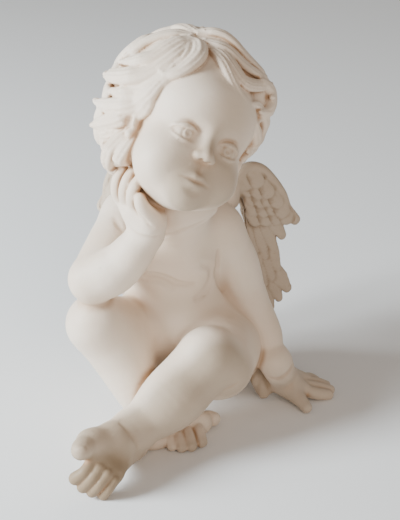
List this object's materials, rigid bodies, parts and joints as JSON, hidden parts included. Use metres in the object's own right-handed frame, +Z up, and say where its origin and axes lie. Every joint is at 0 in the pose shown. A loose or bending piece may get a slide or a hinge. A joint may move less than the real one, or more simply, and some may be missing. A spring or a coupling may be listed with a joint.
{
  "type": "seated angel statue",
  "caption": "Seated winged child in cast resin, cheek leaning on one hand, the other hand set down beside the hip, for a shelf, table or garden spot.",
  "frame": {"origin": "on the ground at the middle of the flat patch under the seat", "axes": "+Z up, the figure faces -Y, its left hand side is +X"},
  "size_m": [0.2003, 0.226, 0.293],
  "materials": {
    "resin": "matt stone-white cast resin with a warm tan wash left in the recesses"
  },
  "bodies": {
    "root": {"angel_figure": "resin"}
  },
  "joints": []
}
